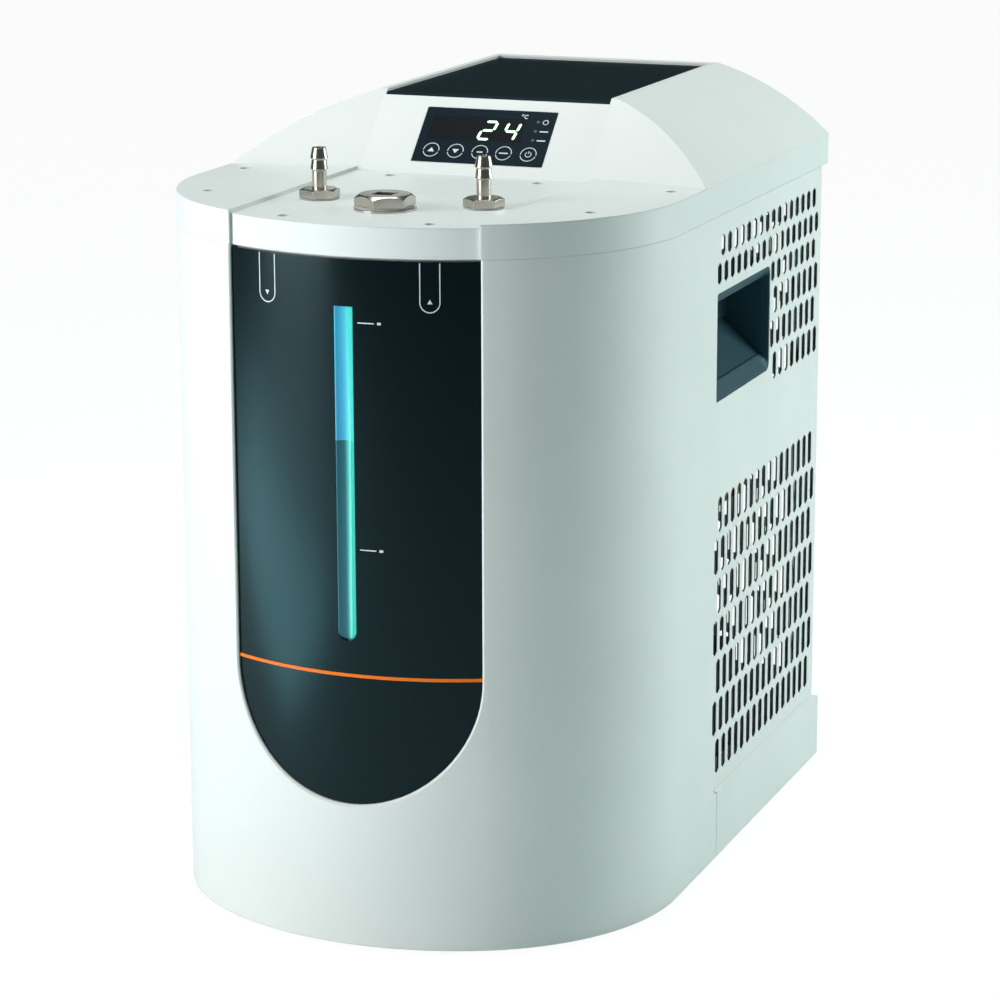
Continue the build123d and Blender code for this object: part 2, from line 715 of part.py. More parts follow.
def filler_plug():
    """Hexagonal plug with a domed top, a square key socket and a stem in the neck."""
    base = (0, FILLER_Y, STRIP_Z + 1 + SEAL_THICK)
    plug = chamfered_hexagon(FILLER_HEX, base, FILLER_HEIGHT, FILLER_DOME, 30)
    plug += rod(FILLER_BORE / 2 - 0.15, (0, FILLER_Y, base[2] - FILLER_STEM), (0, 0, 1), FILLER_STEM)
    depth = Pos(0, FILLER_Y, base[2] + FILLER_HEIGHT + FILLER_DOME)
    return plug - depth * Box(KEY_SOCKET, KEY_SOCKET, 10)


def tank_block(inset, low, high):
    """Solid with the tank's outline: rounder corners in front, tighter ones behind."""
    x = TANK_HALF - inset
    solid = block((-x, x), (TANK_FRONT + inset, TANK_REAR - inset), (low, high))
    corners = solid.edges().filter_by(Axis.Z).sort_by(Axis.Y)
    solid = fillet(corners[2:], 10 - inset)
    return fillet(solid.edges().filter_by(Axis.Z).sort_by(Axis.Y)[:2], TANK_CORNER - inset)


def reservoir_tank():
    """Open-topped moulded tank that shows its level through the window."""
    tank = tank_block(0, SHELF_Z, TANK_TOP) - tank_block(TANK_WALL, SHELF_Z + TANK_WALL, TOP_Z)
    return tank - rod(5, (0, SUCTION_Y, 0), (0, 0, 1), SHELF_Z + 2 * TANK_WALL)


def tank_lid():
    """Lid of the tank, pierced for the filler neck and the return hose."""
    lid = tank_block(0, TANK_TOP, TANK_TOP + TANK_WALL)
    lid -= rod(FILLER_BORE / 2 + MOULDING + FIT, (0, FILLER_Y, 0), (0, 0, 1), TOP_Z)
    return lid - rod(NOZZLE_SHANK + 0.1, (-NOZZLE_X, NOZZLE_Y, 0), (0, 0, 1), TOP_Z)


def tank_foam():
    """Insulation on the sides and back of the tank."""
    half = TANK_HALF + FOAM
    foam = block((-half, half), (TANK_FRONT + TANK_CORNER, TANK_REAR + FOAM), (SHELF_Z, TANK_TOP))
    return foam - block((-TANK_HALF, TANK_HALF), (TANK_FRONT, TANK_REAR), (SHELF_Z - 1, TOP_Z))


def plate_exchanger():
    """Stack of brazed plates with two water ports in front and two refrigerant ports behind."""
    x = (EXCHANGER_X, EXCHANGER_X + 30)
    plates = [
        block((x[0] + step * 3, x[0] + step * 3 + 2.4), (88, 138), (SHELF_Z, EXCHANGER_TOP))
        for step in range(10)
    ]
    core = block((x[0] + 1, x[1] - 1.6), (89, 137), (SHELF_Z, EXCHANGER_TOP - 1))
    ports = [rod(5, (WATER_X, 80, z), (0, 1, 0), 12) for z in PORT_Z]
    ports += [rod(4, (GAS_X, 134, z), (0, 1, 0), 12) for z in PORT_Z]
    solid = core
    for piece in plates + ports:
        solid += piece
    return solid


def pump_housing():
    """Volute with a suction port in front and an outlet upwards at one side."""
    body = rod(PUMP_RADIUS, (0, PUMP_Y, PUMP_Z), (0, 1, 0), PUMP_LENGTH)
    body += rod(5, (0, PUMP_Y - 8, PUMP_Z), (0, 1, 0), 9)
    body += rod(5, (OUTLET_X, PUMP_Y + PUMP_LENGTH / 2, PUMP_Z), (0, 0, 1), OUTLET_Z - PUMP_Z)
    body -= rod(PUMP_RADIUS - 4, (0, PUMP_Y + 3, PUMP_Z), (0, 1, 0), 12)
    return body - rod(3.05, (0, PUMP_Y + 5, PUMP_Z), (0, 1, 0), 20)


def pump_impeller():
    """Impeller with curved vanes on its own shaft."""
    disc = rod(24, (0, PUMP_Y + 11, PUMP_Z), (0, 1, 0), 2)
    disc += rod(6, (0, PUMP_Y + 5, PUMP_Z), (0, 1, 0), 7)
    disc += rod(3, (0, PUMP_Y + 12, PUMP_Z), (0, 1, 0), 20)
    vane = Pos(14, 0, 0) * Rot(0, 28, 0) * Box(18, 5, 1.6)
    for step in range(6):
        disc += Pos(0, PUMP_Y + 8.6, PUMP_Z) * Rot(0, step * 60, 0) * vane
    return disc


def pump_motor():
    """Canned motor with cooling ribs, bored for the impeller's shaft."""
    start = PUMP_Y + PUMP_LENGTH
    body = rod(MOTOR_RADIUS - 2, (0, start, PUMP_Z), (0, 1, 0), 62)
    for step in range(9):
        body += rod(MOTOR_RADIUS, (0, start + 6 + step * 6, PUMP_Z), (0, 1, 0), 2.4)
    return body - rod(3.05, (0, start - 1, PUMP_Z), (0, 1, 0), 18)


def pump_bracket():
    """Saddle under the pump motor."""
    y = PUMP_Y + PUMP_LENGTH + 18
    saddle = block((-18, 18), (y, y + 24), (FLOOR_Z, PUMP_Z - 12))
    return saddle - rod(MOTOR_RADIUS, (0, y - 1, PUMP_Z), (0, 1, 0), 30)


def suction_hose():
    """Hose from the bottom of the tank to the pump's front port."""
    start = SHELF_Z + TANK_WALL
    return pipe(5, 9, (0, SUCTION_Y, start), (0, SUCTION_Y, PUMP_Z), (0, PUMP_Y - 8, PUMP_Z))


def pressure_hose():
    """Hose from the pump's outlet through the shelf to the exchanger's lower water port."""
    y = PUMP_Y + PUMP_LENGTH / 2
    run = SHELF_Z - 18
    return pipe(
        5.5, 8, (OUTLET_X, y, OUTLET_Z), (OUTLET_X, y, run), (WATER_X, PRESSURE_Y, run),
        (WATER_X, PRESSURE_Y, PORT_Z[0]), (WATER_X, 80, PORT_Z[0])
    )


def supply_hose():
    """Hose from the exchanger's upper water port to the stem of the supply nozzle."""
    run = TANK_TOP + 9.5
    return pipe(
        5, 7, (WATER_X, 80, PORT_Z[1]), (WATER_X, 60, PORT_Z[1]), (WATER_X, 60, run),
        (NOZZLE_X, NOZZLE_Y, run), (NOZZLE_X, NOZZLE_Y, NOZZLE_END)
    )


def return_hose():
    """Hose from the stem of the return nozzle down into the tank."""
    low = TANK_TOP - 6
    return rod(NOZZLE_SHANK, (-NOZZLE_X, NOZZLE_Y, low), (0, 0, 1), NOZZLE_END - low)


def compressor():
    """Hermetic compressor with domed ends on a square mounting plate."""
    low = FLOOR_Z + BUSH_HEIGHT
    height = COMPRESSOR_TOP - low - 2
    can = rod(COMPRESSOR_RADIUS, (COMPRESSOR_X, COMPRESSOR_Y, low + 2), (0, 0, 1), height)
    can = fillet(can.edges().filter_by(GeomType.CIRCLE), 24)
    can += rod(COMPRESSOR_RADIUS + 2, (COMPRESSOR_X, COMPRESSOR_Y, low + 70), (0, 0, 1), 3)
    reach = COMPRESSOR_RADIUS
    plate = Pos(COMPRESSOR_X, COMPRESSOR_Y, low) * extrude(RectangleRounded(2 * reach, 2 * reach, 12), 3)
    return can + plate - [rod(3.5, (x, y, 0), (0, 0, 1), low + 8) for x, y in compressor_feet()]


def compressor_grommets():
    """Rubber bushes between the floor and the compressor's plate."""
    return Compound(
        children=[ring(8, 3.1, (x, y, FLOOR_Z), (0, 0, 1), BUSH_HEIGHT) for x, y in compressor_feet()]
    )


def compressor_bolts():
    """Bolts that hold the compressor's plate down through its bushes."""
    top = FLOOR_Z + BUSH_HEIGHT + 3
    return Compound(
        children=[
            rod(3, (x, y, FLOOR_Z), (0, 0, 1), top - FLOOR_Z) + hexagon(10, (x, y, top), 4)
            for x, y in compressor_feet()
        ]
    )


def terminal_cover():
    """Box over the compressor's terminals, on the side that faces the vents."""
    x = COMPRESSOR_X + COMPRESSOR_RADIUS
    box = block((x - 12, x + 12), (COMPRESSOR_Y - 22, COMPRESSOR_Y + 22), (50, 112))
    box = fillet(box.edges().filter_by(Axis.Z), 3)
    return box - rod(COMPRESSOR_RADIUS + 2, (COMPRESSOR_X, COMPRESSOR_Y, 0), (0, 0, 1), TOP_Z)


def tube_heights():
    """Heights of the condenser's tube passes."""
    step = CONDENSER_HEIGHT / 8
    return [CONDENSER_Z - CONDENSER_HEIGHT / 2 + step * (row + 0.5) for row in range(8)]


def condenser_fins():
    """Stack of thin upright fins between two end plates, pierced for the tubes."""
    x = (CONDENSER_X, CONDENSER_X + CONDENSER_THICK)
    low = FLOOR_Z
    pitch = CONDENSER_WIDTH / FIN_COUNT
    start = CONDENSER_Y - CONDENSER_WIDTH / 2
    top = CONDENSER_Z + CONDENSER_HEIGHT / 2
    fins = []
    for step in range(FIN_COUNT + 1):
        end = step in (0, FIN_COUNT)
        y = start + step * pitch
        z = low if end else CONDENSER_Z - CONDENSER_HEIGHT / 2
        fins.append(block(x, (y, y + (2 * FIN_THICK if end else FIN_THICK)), (z, top)))
    middle = sum(x) / 2
    length = CONDENSER_WIDTH + 4
    tubes = [rod(4.1, (middle, start - 1, z), (0, 1, 0), length) for z in tube_heights()]
    return Compound(children=[fin - tubes for fin in fins])


def condenser_coil():
    """Copper tube that runs back and forth through the fins, with a bend at each turn."""
    middle = CONDENSER_X + CONDENSER_THICK / 2
    start = CONDENSER_Y - CONDENSER_WIDTH / 2 - 1
    end = start + CONDENSER_WIDTH + 3
    heights = tube_heights()
    coil = rod(4, (middle, start, heights[0]), (0, 1, 0), end - start)
    for row in range(1, len(heights)):
        coil += rod(4, (middle, start, heights[row]), (0, 1, 0), end - start)
        side = 1 if row % 2 else -1
        y = end if row % 2 else start
        span = (heights[row] - heights[row - 1]) / 2
        turn = ThreePointArc(
            (middle, y, heights[row - 1]),
            (middle, y + side * span, (heights[row] + heights[row - 1]) / 2),
            (middle, y, heights[row]),
        )
        coil += sweep(Plane(turn @ 0, z_dir=turn % 0) * Circle(4), path=turn)
    return coil


def fan_shroud():
    """Plate behind the condenser with a round duct and arms to the fan's motor."""
    x = CONDENSER_X + CONDENSER_THICK
    half = CONDENSER_WIDTH / 2
    y = (CONDENSER_Y - half, CONDENSER_Y + half)
    plate = block((x, x + 1.5), y, (FLOOR_Z, CONDENSER_Z + CONDENSER_HEIGHT / 2))
    duct = rod(FAN_RADIUS + 4, (x, CONDENSER_Y, CONDENSER_Z), (1, 0, 0), 22)
    bore = rod(FAN_RADIUS + 2, (x - 1, CONDENSER_Y, CONDENSER_Z), (1, 0, 0), 40)
    shroud = plate + duct - bore
    reach = FAN_RADIUS + 3
    for turn in (90, 210, 330):
        place = Pos(x + 20.5, CONDENSER_Y, CONDENSER_Z) * Rot(turn, 0, 0)
        shroud += place * Pos(0, reach / 2, 0) * Box(3, reach, 8)
    return shroud - rod(FAN_MOTOR_RADIUS, (x, CONDENSER_Y, CONDENSER_Z), (1, 0, 0), 40)


def fan_motor():
    """Round motor held by the shroud's arms, bored for the fan's shaft."""
    x = CONDENSER_X + CONDENSER_THICK + 18
    body = rod(FAN_MOTOR_RADIUS, (x, CONDENSER_Y, CONDENSER_Z), (1, 0, 0), 34)
    body = fillet(body.edges().filter_by(GeomType.CIRCLE), 3)
    return body - rod(3.05, (x - 1, CONDENSER_Y, CONDENSER_Z), (1, 0, 0), 22)


def fan_shaft():
    """Shaft pressed into the fan's hub and running in the motor."""
    x = CONDENSER_X + CONDENSER_THICK + 3
    return rod(3, (x, CONDENSER_Y, CONDENSER_Z), (1, 0, 0), 34)


def fan_blade():
    """Axial fan: a hub and twisted blades."""
    x = CONDENSER_X + CONDENSER_THICK + 9
    hub = rod(19, (x - 7, CONDENSER_Y, CONDENSER_Z), (1, 0, 0), 14)
    root = Plane.XZ.offset(-15) * Rot(0, 0, 52) * Rectangle(12, 1.6)
    middle = Plane.XZ.offset(-44) * Rot(0, 0, 62) * Rectangle(19, 1.6)
    tip = Plane.XZ.offset(-FAN_RADIUS + 1) * Rot(0, 0, 68) * Rectangle(24, 1.6)
    blade = loft([root.face(), middle.face(), tip.face()])
    fan = hub
    for step in range(FAN_BLADES):
        fan += Pos(x, CONDENSER_Y, CONDENSER_Z) * Rot(step * 360 / FAN_BLADES, 0, 0) * blade
    return fan - rod(3, (x - 10, CONDENSER_Y, CONDENSER_Z), (1, 0, 0), 30)


def filter_drier():
    """Copper drier capsule with tapered ends, lying behind the side vents."""
    end = DRIER_LENGTH
    profile = Polyline((0, 0), (3, 0), (9, 10), (9, end - 10), (3, end), (0, end), close=True)
    turned = revolve(make_face(profile), Axis.Y)
    return Pos(DRIER_X, DRIER_Y, DRIER_Z) * turned


def service_valve():
    """Brass valve body at the drier's outlet."""
    y = DRIER_Y + DRIER_LENGTH
    body = rod(6, (DRIER_X, y, DRIER_Z), (0, 1, 0), 14)
    body += block((DRIER_X - 7, DRIER_X + 7), (y + 2, y + 12), (DRIER_Z - 7, DRIER_Z + 7))
    return body + rod(3.5, (DRIER_X, y + 7, DRIER_Z), (0, 0, 1), 16)


def discharge_line():
    """Tube from the top of the compressor to the top of the condenser."""
    low = COMPRESSOR_TOP
    middle = CONDENSER_X + CONDENSER_THICK / 2
    start = CONDENSER_Y - CONDENSER_WIDTH / 2 - 1
    top = tube_heights()[-1]
    return pipe(
        3, 9, (COMPRESSOR_X, COMPRESSOR_Y, low), (COMPRESSOR_X, COMPRESSOR_Y, top),
        (-60, COMPRESSOR_Y, top), (-60, start - 22, top), (middle, start - 22, top),
        (middle, start, top)
    )


def liquid_line():
    """Tube from the foot of the condenser across the floor and up to the drier."""
    middle = CONDENSER_X + CONDENSER_THICK / 2
    start = CONDENSER_Y - CONDENSER_WIDTH / 2 - 1
    low = tube_heights()[0]
    return pipe(
        3, 9, (middle, start, low), (middle, start - 24, low), (DRIER_X, start - 24, low),
        (DRIER_X, start - 24, DRIER_Z), (DRIER_X, DRIER_Y, DRIER_Z)
    )


def capillary_line():
    """Thin tube from the valve forward to the exchanger's lower refrigerant port."""
    y = DRIER_Y + DRIER_LENGTH + 14
    run = DRIER_Z + 46
    return pipe(
        1.5, 6, (DRIER_X, y, DRIER_Z), (DRIER_X, y + 14, DRIER_Z), (DRIER_X, y + 14, run),
        (DRIER_X, 162, run), (GAS_X, 162, run), (GAS_X, 162, PORT_Z[0]), (GAS_X, 146, PORT_Z[0])
    )


def suction_line():
    """Tube from the exchanger's upper refrigerant port back to the compressor."""
    low = COMPRESSOR_TOP
    x = COMPRESSOR_X + 22
    y = COMPRESSOR_Y - 18
    return pipe(
        4, 9, (GAS_X, 146, PORT_Z[1]), (GAS_X, 176, PORT_Z[1]), (GAS_X, 176, low + 40),
        (x, y, low + 40), (x, y, low)
    )


def power_board():
    """Circuit board on four pillars over the chassis plate, with its larger parts."""
    y = (222, 352)
    board = block((-80, 80), y, (CHASSIS_Z + 6, CHASSIS_Z + 7.6))
    for x in (-74, 74):
        for edge in (y[0] + 6, y[1] - 6):
            board += rod(3, (x, edge, CHASSIS_Z), (0, 0, 1), 7)
    top = CHASSIS_Z + 7.6
    board += block((-70, -26), (240, 290), (top, top + 32))
    for step in range(3):
        board += block((-10 + step * 22, 6 + step * 22), (300, 328), (top, top + 16))
        board += rod(8, (2 + step * 22, 256, top), (0, 0, 1), 24)
    return board


def mains_inlet():
    """Appliance inlet with its shaped socket."""
    y = SIDE_DEPTH
    body = block((INLET_X - 25, INLET_X + 25), (y, y + 2.5), (INLET_Z - 15, INLET_Z + 15))
    body = fillet(body.edges().filter_by(Axis.Y), 4)
    body += block((INLET_X - 13.8, INLET_X + 13.8), (y - 22, y), (INLET_Z - 10, INLET_Z + 10))
    socket = Polygon((-12, -8), (12, -8), (12, 4), (8, 8), (-8, 8), (-12, 4), align=None)
    front = Plane((INLET_X, y + 3, INLET_Z), x_dir=(-1, 0, 0), z_dir=(0, 1, 0))
    return body - extrude(front * socket, -20)


def inlet_pins():
    """Three blades inside the inlet's socket."""
    y = (SIDE_DEPTH - 17, SIDE_DEPTH - 3)
    places = ((INLET_X - 7, INLET_Z - 1), (INLET_X, INLET_Z + 3), (INLET_X + 7, INLET_Z - 1))
    return Compound(children=[block((x - 1, x + 1), y, (z - 2, z + 2)) for x, z in places])


def switch_frame():
    """Bezel and body of the mains switch."""
    y = SIDE_DEPTH
    frame = block((SWITCH_X - 8, SWITCH_X + 8), (y, y + 2), (INLET_Z - 11.5, INLET_Z + 11.5))
    frame += block((SWITCH_X - 6.4, SWITCH_X + 6.4), (y - 16, y), (INLET_Z - 9.6, INLET_Z + 9.6))
    frame -= block((SWITCH_X - 5.2, SWITCH_X + 5.2), (y - 10, y + 3), (INLET_Z - 8.4, INLET_Z + 8.4))
    return frame - rod(1.05, (SWITCH_X - 6.1, y, INLET_Z), (1, 0, 0), 12.2)


def mains_rocker():
    """Rocker key, bent in the middle, with a pivot pin at each side."""
    key = Polygon(
        (-7.2, -4.2), (0, -1.6), (7.2, -1.3), (6.8, 1.6), (1, 3), (-1, 3), (-6.8, 1.6), align=None
    )
    place = Plane((SWITCH_X - 4.9, SIDE_DEPTH, INLET_Z), x_dir=(0, 0, 1), z_dir=(1, 0, 0))
    return extrude(place * key, 9.8) + rod(1, (SWITCH_X - 6, SIDE_DEPTH, INLET_Z), (1, 0, 0), 12)


def drain_valve():
    """Drain valve on the rear panel with a spout that points down."""
    body = rod(9, (DRAIN_X, SIDE_DEPTH, DRAIN_Z), (0, 1, 0), 6)
    body += rod(6, (DRAIN_X, PANEL_Y - 12, DRAIN_Z), (0, 1, 0), 16)
    body += rod(2.9, (DRAIN_X, SIDE_DEPTH + 3, DRAIN_Z - 18), (0, 0, 1), 12)
    body -= rod(1.8, (DRAIN_X, SIDE_DEPTH + 3, DRAIN_Z - 19), (0, 0, 1), 8)
    return body - rod(3.05, (DRAIN_X, SIDE_DEPTH - 4, DRAIN_Z), (0, 1, 0), 12)


def drain_knob():
    """Quarter-turn knob with a finger bar, on a stem in the valve."""
    y = SIDE_DEPTH + 6.3
    knob = rod(8.4, (DRAIN_X, y, DRAIN_Z), (0, 1, 0), 2)
    knob += block((DRAIN_X - 8, DRAIN_X + 8), (y, y + 6), (DRAIN_Z - 2, DRAIN_Z + 2))
    return knob + rod(3, (DRAIN_X, SIDE_DEPTH - 3.5, DRAIN_Z), (0, 1, 0), 11)


def handle_cup_left():
    """Grip on the left side."""
    return handle_cup(-1)


def handle_cup_right():
    """Grip on the right side."""
    return handle_cup(1)


def return_nozzle():
    """Nozzle through which the liquid comes back."""
    return hose_nozzle(NOZZLES["return_nozzle"])


def supply_nozzle():
    """Nozzle through which the cooled liquid leaves."""
    return hose_nozzle(NOZZLES["supply_nozzle"])


PIECES = [
    base_tray, rubber_feet, front_shell, front_window, accent_stripe, level_gauge,
    top_cover, top_mat, deck_screws, display_fascia, display_lens, controller_housing,
    handle_cup_left, handle_cup_right, chassis_frame, rear_panel, rear_screws,
    return_nozzle, supply_nozzle, nozzle_seals, nozzle_nuts, filler_neck, filler_seal,
    filler_plug, reservoir_tank, tank_lid, tank_foam, plate_exchanger, pump_housing,
    pump_impeller, pump_motor, pump_bracket, suction_hose, pressure_hose, supply_hose,
    return_hose, compressor, compressor_grommets, compressor_bolts, terminal_cover,
    condenser_fins, condenser_coil, fan_shroud, fan_motor, fan_shaft, fan_blade,
    filter_drier, service_valve, discharge_line, liquid_line, capillary_line,
    suction_line, power_board, mains_inlet, inlet_pins, switch_frame, mains_rocker,
    drain_valve, drain_knob,
]

os.makedirs("parts", exist_ok=True)
for piece in PIECES:
    solids = [Pos(0, -BASE_DEPTH / 2, 0) * solid for solid in piece().solids()]
    export_step(Compound(children=solids), f"parts/{piece.__name__}.step")
    print(piece.__name__)
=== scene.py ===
# %% [markdown]
# # Dressing a recirculating chiller
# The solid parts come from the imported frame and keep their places. This lesson gives
# each of them a procedural material, adds the thin printed and lit marks as small
# meshes, and sets up the studio. Everything is in metres, in the frame of the solids:
# X across the front, Y from front to back, Z up, with zero under the middle.

# %%
import math
import bpy
from mathutils import Matrix, Vector


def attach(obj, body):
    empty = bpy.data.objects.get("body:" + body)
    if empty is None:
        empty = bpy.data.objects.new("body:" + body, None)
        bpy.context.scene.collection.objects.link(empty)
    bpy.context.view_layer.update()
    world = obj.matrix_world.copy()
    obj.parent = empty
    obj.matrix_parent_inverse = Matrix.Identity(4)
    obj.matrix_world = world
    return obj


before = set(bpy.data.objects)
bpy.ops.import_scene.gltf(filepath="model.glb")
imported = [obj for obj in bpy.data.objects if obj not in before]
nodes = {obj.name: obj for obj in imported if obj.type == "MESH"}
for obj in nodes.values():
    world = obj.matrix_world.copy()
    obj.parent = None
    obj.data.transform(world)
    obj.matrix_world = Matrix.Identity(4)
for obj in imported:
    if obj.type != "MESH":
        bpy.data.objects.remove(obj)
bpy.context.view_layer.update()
print("solids loaded:", len(nodes))

# %% [markdown]
# ## Shader maths as plain expressions
# A socket is wrapped so that `1 - mask` or `a * b + c` builds the Math nodes by itself.
# The numbers on the other side of an operator may be floats or other wrapped sockets.

# %% The socket wrapper
class Value:
    """A float socket that can be used in expressions."""

    def __init__(self, sheet, socket):
        self.sheet = sheet
        self.socket = socket

    def _math(self, operation, first, second, third=None):
        inputs = {0: first, 1: second}
        if third is not None:
            inputs[2] = third
        made = self.sheet.node("ShaderNodeMath", {"operation": operation}, inputs)
        return Value(self.sheet, made.outputs[0])

    def __add__(self, other):
        return self._math("ADD", self, other)

    def __radd__(self, other):
        return self._math("ADD", other, self)

    def __sub__(self, other):
        return self._math("SUBTRACT", self, other)

    def __rsub__(self, other):
        return self._math("SUBTRACT", other, self)

    def __mul__(self, other):
        return self._math("MULTIPLY", self, other)

    def __rmul__(self, other):
        return self._math("MULTIPLY", other, self)

    def __truediv__(self, other):
        return self._math("DIVIDE", self, other)

    def __gt__(self, other):
        return self._math("GREATER_THAN", self, other)

    def __lt__(self, other):
        return self._math("LESS_THAN", self, other)

    def clamped(self, low=0.0, high=1.0):
        limited = self._math("MAXIMUM", self, low)
        return limited._math("MINIMUM", limited, high)


class Sheet:
    """One material's nodes, with a Principled shader ready to be fed."""

    def __init__(self, name):
        self.material = bpy.data.materials.new(name)
        self.material.use_nodes = True
        self.nodes = self.material.node_tree.nodes
        self.links = self.material.node_tree.links
        self.shader = self.nodes["Principled BSDF"]
        self.place = self.node("ShaderNodeTexCoord").outputs["Object"]

    def node(self, kind, settings=None, inputs=None):
        """A node of one kind: its settings first, then values or links for its sockets."""
        made = self.nodes.new(kind)
        for name, value in (settings or {}).items():
            setattr(made, name, value)
        for name, value in (inputs or {}).items():
            self.feed(made.inputs[name], value)
        return made

    def feed(self, socket, value):
        if isinstance(value, Value):
            value = value.socket
        if isinstance(value, bpy.types.NodeSocket):
            self.links.new(value, socket)
        elif isinstance(value, tuple) and len(value) == 3 and socket.type == "RGBA":
            socket.default_value = (*value, 1.0)
        else:
            socket.default_value = value

    def set(self, **inputs):
        """Values or links for the Principled shader, with _ for the spaces in names."""
        for name, value in inputs.items():
            self.feed(self.shader.inputs[name.replace("_", " ")], value)
        return self

    def noise(self, scale, detail=3.0, roughness=0.5, place=None):
        settings = {"Scale": scale, "Detail": detail, "Roughness": roughness}
        made = self.node("ShaderNodeTexNoise", {}, {**settings, "Vector": place or self.place})
        return Value(self, made.outputs[0])

    def axes(self):
        """The three coordinates of the frame, as floats in metres."""
        split = self.node("ShaderNodeSeparateXYZ", {}, {0: self.place})
        return [Value(self, socket) for socket in split.outputs]

    def stretched(self, x, y, z):
        scaled = {0: self.place, 1: (x, y, z)}
        return self.node("ShaderNodeVectorMath", {"operation": "MULTIPLY"}, scaled).outputs[0]

    def mixed(self, factor, first, second):
        made = self.node("ShaderNodeMix", {"data_type": "RGBA"}, {0: factor, 6: first, 7: second})
        return made.outputs[2]

    def bump(self, height, strength, distance, normal=None):
        inputs = {"Height": height, "Strength": strength, "Distance": distance}
        if normal is not None:
            inputs["Normal"] = normal
        return self.node("ShaderNodeBump", {}, inputs).outputs[0]

    def rounded(self, radius):
        """Normal that softens sharp edges within a radius."""
        return self.node("ShaderNodeBevel", {"samples": 6}, {"Radius": radius}).outputs[0]


print("shader helpers ready")

# %% [markdown]
# ## Moulded plastics
# The housing is a textured white moulding: a fine grain in the surface, edges rounded
# by the mould and very slight wandering of gloss. The dark mouldings share the recipe
# with another colour, grain and roughness, and a cool tint in what they reflect. The
# faces inside the shell get painted shade, a dark colour in place of their shadow, so that the slots
# read as openings.

# %% Plastics
def moulded(name, colour, roughness, grain=900.0, depth=0.00005, edge=0.0006, drift=0.04,
            shine=0.5, gleam=(1.0, 1.0, 1.0), inner_painted_shade=None):
    """A moulding; inner holds a half width, a front limit and the painted shade colour, dark in place of
    shadow, for the faces behind them.
    """
    sheet = Sheet(name)
    cloud = sheet.noise(14.0, 2.0)
    fine = sheet.noise(grain, 2.0, 0.6)
    darker = tuple(part * (1 - drift) for part in colour)
    skin = sheet.mixed((cloud - 0.35) * 2.2, colour, darker)
    if inner_painted_shade:
        x, y, z = sheet.axes()
        half_width, front, shade = inner_painted_shade
        # painted shade: faces between the side walls and behind the front limit are coloured dark where
        # their shadow falls
        painted_shade_mask = (x < half_width) * (x > -half_width) * (y > front)
        skin = sheet.mixed(painted_shade_mask, skin, shade)
    sheet.set(
        Base_Color=skin,
        Roughness=cloud * 0.08 + (roughness - 0.04),
        Specular_IOR_Level=shine,
        Specular_Tint=gleam,
        Normal=sheet.bump(fine, 0.35, depth, sheet.rounded(edge)),
    )
    return sheet.material


SHELL_INNER_X = 0.1397
SHELL_INNER_Y = -0.07
# painted shade colour for the faces inside the shell, standing in for their shadow
PAINTED_SHADE = (0.020, 0.032, 0.036)
white = moulded("white_moulding", (0.80, 0.82, 0.80), 0.50, 1100, 0.00004, 0.0009, shine=0.3)
shell_white = moulded("shell_moulding", (0.80, 0.82, 0.80), 0.50, 1100, 0.00004, 0.0009, shine=0.3,
                      inner_painted_shade=(SHELL_INNER_X, SHELL_INNER_Y, PAINTED_SHADE))
cover_white = moulded("cover_moulding", (0.79, 0.815, 0.80), 0.46, 1300, 0.00003, 0.0011, shine=0.3)
cool = (0.55, 0.92, 1.0)
slate = moulded("slate_panel", (0.0010, 0.0030, 0.0048), 0.22, 1500, 0.00001, 0.0005, 0.1,
                 shine=0.30, gleam=cool)
mat = moulded("top_mat", (0.003, 0.009, 0.013), 0.50, 700, 0.00008, 0.0005, 0.12, shine=0.12, gleam=cool)
fascia = moulded("fascia_film", (0.003, 0.008, 0.016), 0.40, 1600, 0.00002, 0.0003,
                  shine=0.08, gleam=cool)
grip = moulded("grip_moulding", (0.030, 0.078, 0.104), 0.45, 900, 0.00006, 0.0012, shine=0.2, gleam=cool)
black = moulded("black_plastic", (0.012, 0.013, 0.015), 0.42, edge=0.0005, shine=0.3)
orange = moulded("orange_inlay", (0.96, 0.19, 0.010), 0.38, 1500, 0.00001, 0.0001, shine=0.2)
print("plastics:", 9)

# %% [markdown]
# ## Clear parts, metals and rubber
# The gauge is a tinted trough with a painted glow in place of light from behind. It is bluer above the
# liquid and greener below it, so its colour changes at the level of the liquid. A painted highlight
# makes the right side of the trough lighter than the left, and the dry part gets lighter towards the
# top.

# %% Gauge, lens and tank
LEVEL = 0.2763
gauge = Sheet("gauge_trough")
x, y, z = gauge.axes()
wet = z < LEVEL
# painted highlight and shade: the colour is lighter towards the right wall of the trough and darker
# towards the left
side = ((x + 0.0052) / 0.0104).clamped()
# the dry part gets lighter towards the top
rise = ((z - 0.17) / 0.177).clamped()
dry_left = gauge.mixed(rise, (0.045, 0.26, 0.50), (0.065, 0.48, 0.74))
dry_with_painted_highlight = gauge.mixed((side - 0.42) * 5.0, dry_left, (0.045, 0.52, 0.48))
liquid_with_painted_highlight = gauge.mixed((side - 0.40) * 4.0, (0.006, 0.120, 0.160), (0.018, 0.44, 0.35))
tone_and_painted_glow = gauge.mixed(wet, dry_with_painted_highlight, liquid_with_painted_highlight)
# painted glow: the trough also emits its own colour, in place of light from behind
gauge.set(
    Base_Color=tone_and_painted_glow, Roughness=0.18, Coat_Weight=0.5, Coat_Roughness=0.06,
    Emission_Color=tone_and_painted_glow, Emission_Strength=0.24,
)

lens = Sheet("smoked_lens")
lens.set(
    Base_Color=(0.002, 0.003, 0.005),
    Roughness=lens.noise(30.0) * 0.05 + 0.26,
    Specular_IOR_Level=0.05,
)

tank = Sheet("tank_moulding")
tank.set(
    Base_Color=tank.mixed(tank.noise(20.0), (0.62, 0.70, 0.70), (0.70, 0.77, 0.76)),
    Roughness=0.38,
    Normal=tank.bump(tank.noise(300.0), 0.15, 0.0002),
)
print("clear parts:", 3)


